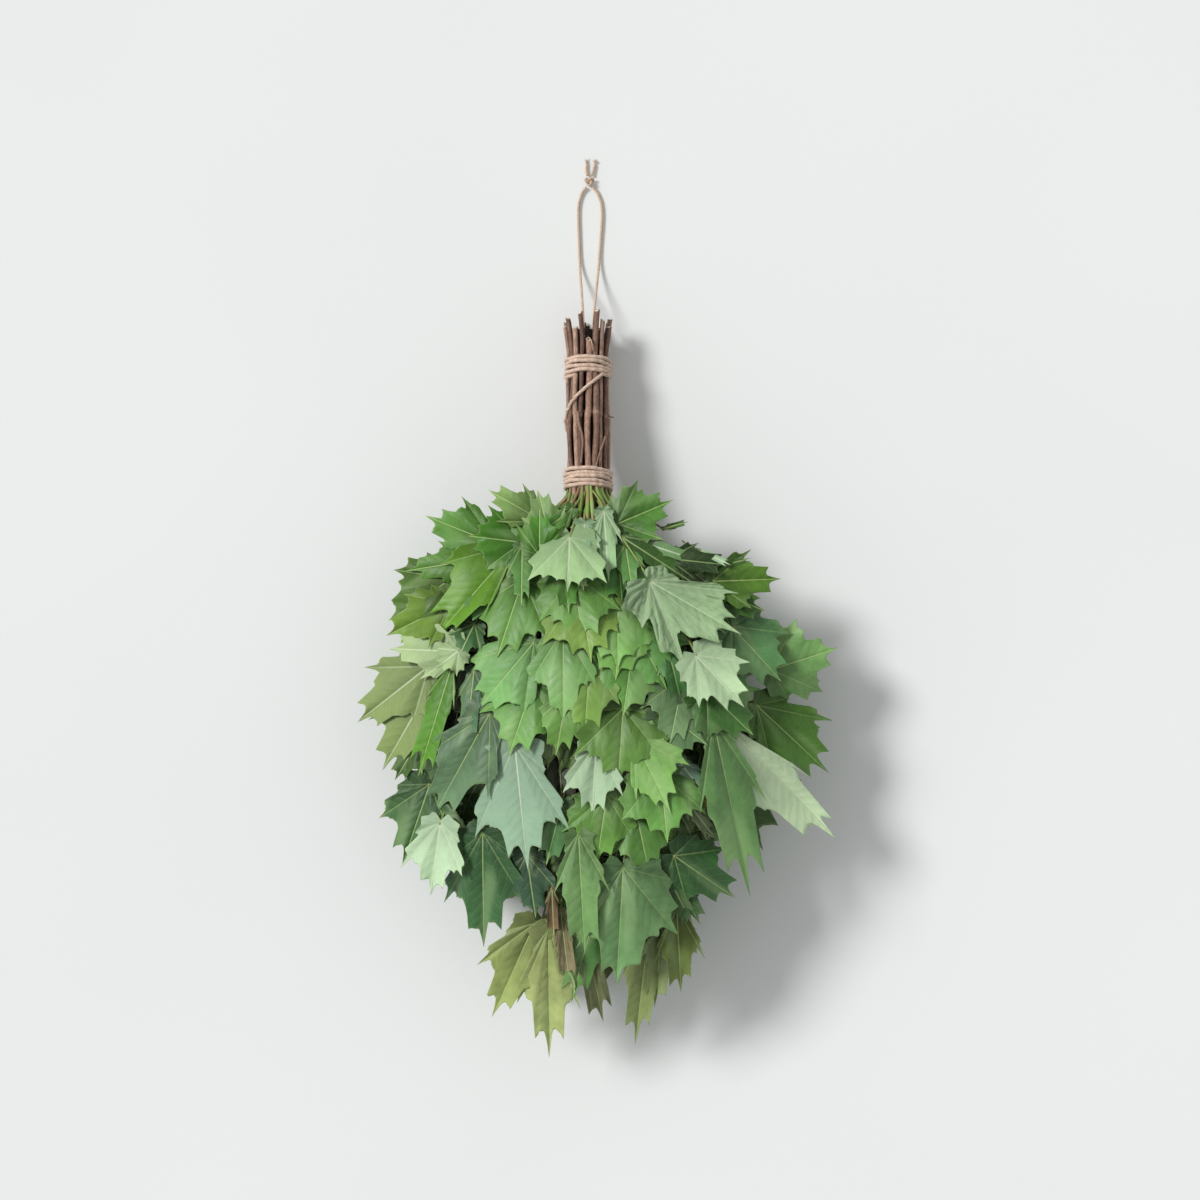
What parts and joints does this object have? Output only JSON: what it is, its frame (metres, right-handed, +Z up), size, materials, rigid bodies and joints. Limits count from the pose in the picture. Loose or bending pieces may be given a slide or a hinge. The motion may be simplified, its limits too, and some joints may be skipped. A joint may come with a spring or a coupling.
{
  "type": "leafy maple twig whisk",
  "caption": "Bundle of leafy maple twigs tied with jute cord into a handle, with a twine hanging loop, lying flat; a sauna whisk.",
  "frame": {"origin": "On the floor, under the middle of the box round the twigs, leaves and bindings; the twine loop is left out of that box.", "axes": "+Y along the bundle towards the cut ends of the handle, +X to the right seen from above with the handle at the top, +Z up."},
  "size_m": [0.3901, 0.7317, 0.1334],
  "materials": {
    "bark": "smooth young maple bark, dry, satin",
    "leaf": "maple leaf, satin upper side and pale matt underside",
    "jute_cord": "twisted jute cord, hairy and matt",
    "twine": "thin twisted twine, matt"
  },
  "bodies": {
    "root": {"twig_01": "bark", "twig_02": "bark", "twig_03": "bark", "twig_04": "bark", "twig_05": "bark", "twig_06": "bark", "twig_07": "bark", "twig_08": "bark", "twig_09": "bark", "twig_10": "bark", "twig_11": "bark", "twig_12": "bark", "twig_13": "bark", "twig_14": "bark", "twig_15": "bark", "twig_16": "bark", "twig_17": "bark", "inner_twigs": "bark", "upper_binding": "jute_cord", "lower_binding": "jute_cord", "crossing_strand": "jute_cord", "loop_left": "twine", "loop_right": "twine", "loop_knot": "twine", "tail_left": "twine", "tail_right": "twine", "leaf_tip_middle": "leaf", "leaf_tip_right": "leaf", "leaf_tip_far_right": "leaf", "leaf_dark_right": "leaf", "leaf_tip_left": "leaf", "leaf_low_middle": "leaf", "leaf_low_left": "leaf", "leaf_edge_left_low": "leaf", "leaf_edge_left": "leaf", "leaf_edge_right_low": "leaf", "leaf_edge_right": "leaf", "leaf_edge_right_high": "leaf", "leaf_pale_right": "leaf", "leaf_long_right": "leaf", "leaf_pale_back": "leaf", "leaf_bright_right": "leaf", "leaf_side_right": "leaf", "leaf_bright_left": "leaf", "leaf_large_left": "leaf", "leaf_large_middle": "leaf", "leaf_crinkled_right": "leaf", "leaf_shoulder_top": "leaf", "leaf_shoulder_left": "leaf", "leaf_sweep_left": "leaf", "leaf_neck_left": "leaf", "leaf_neck_right": "leaf", "leaf_neck_top": "leaf", "leaf_floor_low": "leaf", "leaf_floor_middle": "leaf", "leaf_floor_low_left": "leaf", "leaf_floor_low_right": "leaf", "leaf_floor_left": "leaf", "leaf_floor_right": "leaf", "inner_leaves": "leaf"}
  },
  "joints": []
}
